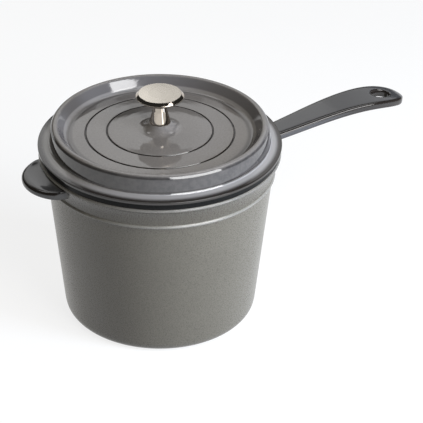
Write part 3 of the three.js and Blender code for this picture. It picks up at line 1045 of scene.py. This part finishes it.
def make_washer():
    """The flat washer under the lid."""
    bm = bmesh.new()
    drawn_wire(bm, WASHER_PROFILE, closed=True)
    turned(bm, WASHER_STEPS)
    finished_piece("knob_flat_washer", bm, (STEEL,), "lid", ("knob_washer",))


def make_lock_washer():
    """A spring washer with one split."""
    bm = bmesh.new()
    drawn_wire(bm, SPRING_WASHER_PROFILE, closed=True)
    start = Matrix.Rotation(SPRING_WASHER_SPLIT / 2, 3, "Z")
    bmesh.ops.rotate(bm, cent=ORIGIN, matrix=start, verts=bm.verts)
    turned(bm, SPRING_WASHER_STEPS, FULL_TURN - SPRING_WASHER_SPLIT)
    bmesh.ops.holes_fill(bm, edges=[edge for edge in bm.edges if edge.is_boundary], sides=0)
    finished_piece("knob_spring_washer", bm, (STEEL,), "lid", ("knob_lock_washer",))


make_pot()
make_lid()
make_nubs()
make_knob()
make_screw()
make_washer()
make_lock_washer()


# Studio: pale floor, soft lights and the photograph's viewing angle

STUDIO_FLOOR_STEPS = 96
STUDIO_FLOOR_RADIUS = 9.0
STUDIO_FLOOR_GLOW = 0.80
ROOM_GLOW = 0.03
HORIZON_FULL = 0.03
HORIZON_GONE = 0.12
CAMERA_HEADING = -112.28
PAN_MIDDLE = Vector((0.0, 0.0, 0.13))
CAMERA_PLACE = Vector((-0.5267, -1.2854, 0.9233))
CAMERA_AHEAD = Vector((0.34829, 0.78226, -0.51648))
CAMERA_ROLL = math.radians(0.771)
CAMERA_LENS = 170.21
SENSOR_WIDTH = 36.0
CAMERA_RANGE = 50.0
WHITE_LIGHT = (1.0, 1.0, 1.0)
COOL_LIGHT = (0.72, 0.82, 1.0)
WARM_LIGHT = (1.0, 0.95, 0.76)

# Turn is degrees right of the camera, lift degrees above the floor, reach, width and height metres.
# A lamp that isn't mirrored lights softly without showing in the glaze.
Softbox = namedtuple("Softbox", "name turn lift reach width height radiance mirrored tint",
                     defaults=(True, WHITE_LIGHT))
SOFTBOXES = (
    Softbox("front_softbox", 40, 39, 0.75, 0.57, 0.33, 8.9),
    Softbox("front_strip", 33, 6, 1.3, 0.24, 0.50, 3.0),
    Softbox("right_softbox", 65, 8, 1.3, 0.5, 0.6, 34.0, False, COOL_LIGHT),
    Softbox("left_strip", -108, 8, 1.3, 0.25, 0.6, 8.0, False, WARM_LIGHT),
    Softbox("back_panel", 180, 32, 1.6, 1.6, 0.7, 0.73),
    Softbox("back_left_panel", 202, 34, 1.6, 1.0, 0.7, 0.42),
    Softbox("high_back_panel", 180, 66, 1.5, 1.4, 0.4, 2.2),
)


def make_floor():
    """A pale floor that is white to the camera and in reflections, and keeps the pan's shadow."""
    finish, tree, shader = new_finish("pale_studio_floor")
    clouds = noise(tree, object_place(tree), 3, 2)
    tone = blend(tree, clouds, colour(0.21, 0.21, 0.21), colour(0.23, 0.23, 0.23))
    feed(tree, shader, "Base Color", tone)
    shader.inputs["Roughness"].default_value = 1.0
    shader.inputs["Specular IOR Level"].default_value = 0.0
    paths = add_node(tree, "ShaderNodeLightPath").outputs
    seen = math_node(tree, "MAXIMUM", paths["Is Camera Ray"], paths["Is Glossy Ray"])
    seen = math_node(tree, "MAXIMUM", seen, paths["Is Transmission Ray"])
    strength = math_node(tree, "MULTIPLY", seen, STUDIO_FLOOR_GLOW)
    glow = add_node(tree, "ShaderNodeEmission", (("Strength", strength),))
    both = add_node(tree, "ShaderNodeAddShader", ((0, shader.outputs[0]), (1, glow.outputs[0])))
    tree.links.new(both.outputs[0], tree.nodes["Material Output"].inputs["Surface"])
    bm = bmesh.new()
    bmesh.ops.create_circle(bm, cap_ends=True, segments=STUDIO_FLOOR_STEPS, radius=STUDIO_FLOOR_RADIUS)
    mesh = bpy.data.meshes.new("studio_floor")
    bm.to_mesh(mesh)
    bm.free()
    mesh.materials.append(finish)
    floor = placed("studio_floor", mesh)


def make_camera():
    """The camera that the photograph's round edges gave."""
    lens = bpy.data.cameras.new("photo_camera")
    lens.sensor_width = SENSOR_WIDTH
    lens.lens = CAMERA_LENS
    lens.clip_end = CAMERA_RANGE
    camera = placed("photo_camera", lens)
    facing = CAMERA_AHEAD.to_track_quat("-Z", "Y").to_matrix() @ Matrix.Rotation(CAMERA_ROLL, 3, "Z")
    camera.location = CAMERA_PLACE
    camera.rotation_euler = facing.to_euler()
    bpy.context.scene.camera = camera


def make_studio():
    """The room: white to the camera, a white horizon in reflections, and dim all round."""
    world = bpy.data.worlds.new("studio")
    world.use_nodes = True
    tree = world.node_tree
    facing = add_node(tree, "ShaderNodeTexCoord").outputs["Generated"]
    paths = add_node(tree, "ShaderNodeLightPath").outputs
    horizon = ramp(tree, height_of(tree, facing), HORIZON_FULL, HORIZON_GONE, 1.0, 0.0)
    mirrored = math_node(tree, "MAXIMUM", paths["Is Glossy Ray"], paths["Is Transmission Ray"])
    white = math_node(tree, "MULTIPLY", mirrored, horizon)
    white = math_node(tree, "MAXIMUM", paths["Is Camera Ray"], white)
    background = tree.nodes["Background"]
    feed(tree, background, "Strength", math_node(tree, "MAXIMUM", white, ROOM_GLOW))
    background.inputs["Color"].default_value = colour(1.0, 1.0, 1.0)
    bpy.context.scene.world = world


def towards(turn, lift):
    """A direction from the pan, by degrees right of the camera and above the floor."""
    heading = math.radians(CAMERA_HEADING + turn)
    rise = math.radians(lift)
    return Vector((math.cos(heading) * math.cos(rise), math.sin(heading) * math.cos(rise), math.sin(rise)))


def hang_softbox(box):
    """A rectangular lamp that faces the pan."""
    lamp = bpy.data.lights.new(box.name, "AREA")
    lamp.shape = "RECTANGLE"
    lamp.size = box.width
    lamp.size_y = box.height
    lamp.energy = box.radiance * math.pi * box.width * box.height
    lamp.color = box.tint
    hung = placed(box.name, lamp)
    away = towards(box.turn, box.lift)
    hung.location = PAN_MIDDLE + away * box.reach
    hung.rotation_euler = away.to_track_quat("Z", "Y").to_euler()
    hung.visible_glossy = box.mirrored


make_floor()
make_camera()
make_studio()
for box in SOFTBOXES:
    hang_softbox(box)
bpy.context.scene.view_settings.view_transform = "Standard"
